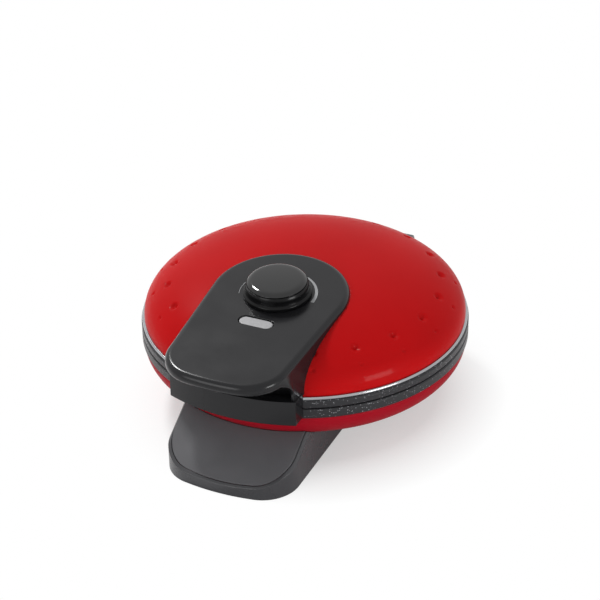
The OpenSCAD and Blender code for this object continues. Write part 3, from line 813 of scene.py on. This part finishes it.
class WAFFLE_OT_grip_wall(bpy.types.Operator):
    """Dark curved wall behind the lip, where the fingers go in"""

    bl_idname = "waffle.grip_wall"
    bl_label = "Grip wall"

    def execute(self, context):
        sizes, colours = context.scene.waffle_sizes, context.scene.waffle_colours
        outer, thickness, side_wall = -low("grip_liner").y, 2.4, 1.2
        bottom, top = low("grip_liner").z + 0.2, high("grip_liner").z - 1.0
        half = self.reach(outer, sizes) - side_wall
        turn = math.degrees(math.asin(half / outer))
        rings = []
        for a in spread(-90 - turn, -90 + turn, 48):
            c, s = math.cos(math.radians(a)), math.sin(math.radians(a))
            rings.append([(r * c, r * s, z) for r, z in self.outline(outer, thickness, bottom, top)])
        wall = loft("grip_wall", rings)
        piece("grip_wall", wall, knob_grip_plastic(colours), "lid", ["grip_liner"])
        return {"FINISHED"}

    def reach(self, radius, sizes):
        """Half the cover's inside width where the wall meets its sides."""
        taper = sizes.cover_taper
        return (sizes.cover_half - (radius + sizes.cover_end) * math.sin(taper)) / math.cos(taper)

    def outline(self, outer, thickness, bottom, top):
        """The wall's section, rounded along its lower front edge."""
        rounded = arc((outer - 1.0, bottom + 1.0), 1.0, -90, 0, 5)
        return [(outer - thickness, bottom), *rounded, (outer, top), (outer - thickness, top)]


def stadium(name, length, width, bottom, top, edge=0.0):
    """A bar with round ends at the lens's place; edge rounds its top."""
    half = (length - width) / 2
    x, y = LENS_PLACE

    def outline(inset, z):
        r = width / 2 - inset
        points = arc((x + half, y), r, -90, 90, 16) + arc((x - half, y), r, 90, 270, 16)
        return [(px, py, z) for px, py in points]

    rings = [outline(0, bottom), outline(0, top - edge)]
    if edge:
        rings += [
            outline(edge * (1 - math.cos(math.radians(a))), top - edge + edge * math.sin(math.radians(a)))
            for a in (30, 60, 90)
        ]
        rings.append(outline(edge + 0.3, top))
    return loft(name, rings)


class WAFFLE_OT_lens(bpy.types.Operator):
    """Frosted indicator lens in its pocket"""

    bl_idname = "waffle.lens"
    bl_label = "Indicator lens"

    def execute(self, context):
        sizes, colours = context.scene.waffle_sizes, context.scene.waffle_colours
        lens = on_cover(stadium("lens_window", LENS_LENGTH, LENS_WIDTH, -3.4, -0.45, 0.5), sizes)
        piece("lens_window", lens, frosted_lens(colours), "lid", ["indicator_lens"])
        return {"FINISHED"}


class WAFFLE_OT_knob(bpy.types.Operator):
    """Thermostat knob with its base ring"""

    bl_idname = "waffle.knob"
    bl_label = "Knob"

    def execute(self, context):
        sizes, colours = context.scene.waffle_sizes, context.scene.waffle_colours
        base, cap, height, crown, round_r = 23.5, 21.8, 11.9, 0.6, 5.5
        bore, seam = 3.1, height - 2.4
        skirt = [(bore, 0.5), (base - 0.4, 0.5)]
        skirt += arc((base - 0.5, 1.0), 0.5, -60, 0, 3) + arc((base - 1.0, 2.2), 1.0, 0, 70, 5)
        skirt += [(cap + 0.35, 3.6), (cap + 0.1, 4.6), (cap, 6.0)]
        turn = arc((cap - round_r, height - round_r), round_r, 0, 82, 12)
        skirt += [p for p in turn if p[1] < seam]
        skirt += [(skirt[-1][0] - 1.2, seam - 0.3), (bore, seam - 0.3)]
        top = [(skirt[-3][0] - 1.0, seam - 0.2)] + [p for p in turn if p[1] >= seam]
        edge = top[-1][0]
        top += [(edge * k, height + crown * (1 - k * k)) for k in spread(0.96, 0.08, 11)]
        top += [(0, height + crown), (0, seam - 0.2)]
        body = on_cover(lathe("knob_body", skirt, 128, close=True), sizes)
        crest = on_cover(lathe("knob_cap", top, 128, close=True), sizes)
        piece("knob_body", body, knob_grip_plastic(colours), "knob", ["control_knob"])
        piece("knob_cap", crest, gloss_plastic(colours), "knob")
        return {"FINISHED"}


class WAFFLE_OT_dial(bpy.types.Operator):
    """Printed scale round the knob: an arc that grows with the heat"""

    bl_idname = "waffle.dial"
    bl_label = "Dial print"

    def execute(self, context):
        sizes = context.scene.waffle_sizes
        radius, thick, thin = 26.4, 2.3, 0.3
        start, end = 201.0, -4.0
        rings = []
        steps, under, over = 90, -0.02, 0.04
        corners = ((-1, under), (1, under), (1, over), (-1, over))
        for i, a in enumerate(spread(start, end, steps)):
            half = blend(thin, thick, (i / steps) ** 1.4) / 2
            c, s = math.cos(math.radians(a)), math.sin(math.radians(a))
            rings.append([((radius + side * half) * c, (radius + side * half) * s, z) for side, z in corners])
        mesh = on_cover(loft("dial_scale", rings), sizes)
        piece("dial_scale", mesh, dial_ink(), "lid")
        return {"FINISHED"}


class WAFFLE_OT_carried(bpy.types.Operator):
    """Finishes of the nodes that are carried over from the CAD model"""

    bl_idname = "waffle.carried"
    bl_label = "Carried-over nodes"

    def execute(self, context):
        colours = context.scene.waffle_colours
        dress(gloss_plastic(colours), "hinge_arm")
        dress(cover_plastic(colours), "front_block")
        dress(satin_plastic(colours), "stand_panel")
        dress(stand_plastic(colours), "stand", "bottom_cover", "hinge_housing", "cord_outlet")
        dress(granite_coating(colours), "lower_plate", "upper_plate")
        dress(plated_steel(), "bottom_screws", "hinge_pin", "thermostat_spindle")
        dress(aluminised_sheet(), "lower_heat_shield", "upper_heat_shield", "thermostat_bracket")
        dress(element_sheath(), "lower_element", "upper_element")
        dress(rubber(), "rubber_feet")
        dress(phenolic(), "terminal_block", "thermostat")
        dress(lamp_glass(), "indicator_lamp")
        return {"FINISHED"}


class WAFFLE_OT_stage(bpy.types.Operator):
    """Pale floor, studio light and the camera at the photograph's angle"""

    bl_idname = "waffle.stage"
    bl_label = "Stage"

    def execute(self, context):
        self.floor()
        self.world()
        self.lamp("key", (-0.75, 0.45, 1.1), (0.0, 0.0, 0.06), 0.2, 12.5)
        self.lamp("side_fill", (1.4, -0.45, 0.2), (0.0, 0.0, 0.04), 0.5, 9.0)
        self.lamp("front_fill", (-0.5, -1.4, 0.6), (0.0, 0.0, 0.05), 0.8, 6.5)
        self.camera()
        context.scene.view_settings.view_transform = "Standard"
        return {"FINISHED"}

    def floor(self):
        """A matt floor that keeps the shadow near the object and fades to plain white round it."""
        mesh = bpy.data.meshes.new("floor")
        bm = bmesh.new()
        bmesh.ops.create_grid(bm, x_segments=1, y_segments=1, size=6.0)
        bm.to_mesh(mesh)
        bm.free()
        floor = bpy.data.objects.new("floor", mesh)
        bpy.context.scene.collection.objects.link(floor)
        material = bpy.data.materials.new("pale_floor")
        material.use_nodes = True
        tree = material.node_tree
        tree.nodes.clear()
        matt = add_node(tree, "ShaderNodeBsdfDiffuse", {"Color": linear("#fbfbfb")}).outputs[0]
        white = add_node(tree, "ShaderNodeEmission", {"Color": linear("#ffffff"), "Strength": 1.0}).outputs[0]
        place = add_node(tree, "ShaderNodeTexCoord").outputs["Object"]
        reach = add_node(tree, "ShaderNodeVectorMath", {0: place}, operation="LENGTH").outputs["Value"]
        away = between(tree, reach, 0.095, 0.145, 0.45, 1.0)
        seen = add_node(tree, "ShaderNodeLightPath").outputs["Is Camera Ray"]
        share = add_node(tree, "ShaderNodeMath", {0: away, 1: seen}, operation="MULTIPLY").outputs[0]
        mix = add_node(tree, "ShaderNodeMixShader", {0: share, 1: matt, 2: white}).outputs[0]
        add_node(tree, "ShaderNodeOutputMaterial", {"Surface": mix})
        mesh.materials.append(material)

    def world(self):
        """A dim white room whose walls are seen, directly and in reflections, at full white."""
        world = bpy.data.worlds.new("studio")
        world.use_nodes = True
        tree = world.node_tree
        tree.nodes.clear()
        path = add_node(tree, "ShaderNodeLightPath").outputs
        seen = path["Is Camera Ray"]
        for ray in ("Is Glossy Ray", "Is Transmission Ray"):
            seen = add_node(tree, "ShaderNodeMath", {0: seen, 1: path[ray]}, operation="MAXIMUM").outputs[0]
        light = {"Color": linear("#ffffff"), "Strength": between(tree, seen, 0, 1, 0.5, 1.0)}
        background = add_node(tree, "ShaderNodeBackground", light)
        add_node(tree, "ShaderNodeOutputWorld", {"Surface": background.outputs[0]})
        bpy.context.scene.world = world

    def lamp(self, name, place, target, size, power):
        """A square area lamp that faces a target."""
        data = bpy.data.lights.new(name, "AREA")
        data.energy, data.size = power, size
        lamp = bpy.data.objects.new(name, data)
        lamp.location = place
        aim = Vector(target) - Vector(place)
        lamp.rotation_euler = aim.to_track_quat("-Z", "Y").to_euler()
        bpy.context.scene.collection.objects.link(lamp)

    def camera(self):
        """The camera fitted to the photograph; its focal length is in pixels of the picture's width."""
        azimuth, elevation, roll = math.radians(24.9), math.radians(30.97), math.radians(-0.94)
        distance, target = 1423.1, Vector((-3.13, -1.45, 71.34))
        focal, width, sensor = 2026.53, 600, 36.0
        level = math.cos(elevation)
        back = Vector((math.sin(azimuth) * level, -math.cos(azimuth) * level, math.sin(elevation)))
        right = Vector((math.cos(azimuth), math.sin(azimuth), 0))
        up = back.cross(right)
        across = right * math.cos(roll) + up * math.sin(roll)
        upright = up * math.cos(roll) - right * math.sin(roll)
        data = bpy.data.cameras.new("camera")
        data.sensor_width = sensor
        data.lens = sensor * focal / width
        camera = bpy.data.objects.new("camera", data)
        bpy.context.scene.collection.objects.link(camera)
        turn = Matrix((across, upright, back)).transposed().to_4x4()
        camera.matrix_world = Matrix.Translation((target + back * distance) * MM) @ turn
        bpy.context.scene.camera = camera


class WAFFLE_PT_build(bpy.types.Panel):
    """Lists the pieces of the waffle maker"""

    bl_label = "Waffle maker"
    bl_idname = "WAFFLE_PT_build"
    bl_space_type = "VIEW_3D"
    bl_region_type = "UI"
    bl_category = "Waffle maker"

    def draw(self, context):
        for operator in OPERATORS:
            self.layout.operator(operator.bl_idname)


OPERATORS = (
    WAFFLE_OT_carried,
    WAFFLE_OT_bowl,
    WAFFLE_OT_lid,
    WAFFLE_OT_trim_ring,
    WAFFLE_OT_cover,
    WAFFLE_OT_grip_wall,
    WAFFLE_OT_lens,
    WAFFLE_OT_knob,
    WAFFLE_OT_dial,
    WAFFLE_OT_stage,
)
CLASSES = (WaffleSizes, WaffleColours, *OPERATORS, WAFFLE_PT_build)


def register():
    for cls in CLASSES:
        bpy.utils.register_class(cls)
    bpy.types.Scene.waffle_sizes = bpy.props.PointerProperty(type=WaffleSizes)
    bpy.types.Scene.waffle_colours = bpy.props.PointerProperty(type=WaffleColours)


def unregister():
    del bpy.types.Scene.waffle_colours
    del bpy.types.Scene.waffle_sizes
    for cls in reversed(CLASSES):
        bpy.utils.unregister_class(cls)


def main():
    register()
    for operator in OPERATORS:
        group, name = operator.bl_idname.split(".")
        getattr(getattr(bpy.ops, group), name)()


if __name__ == "__main__":
    main()
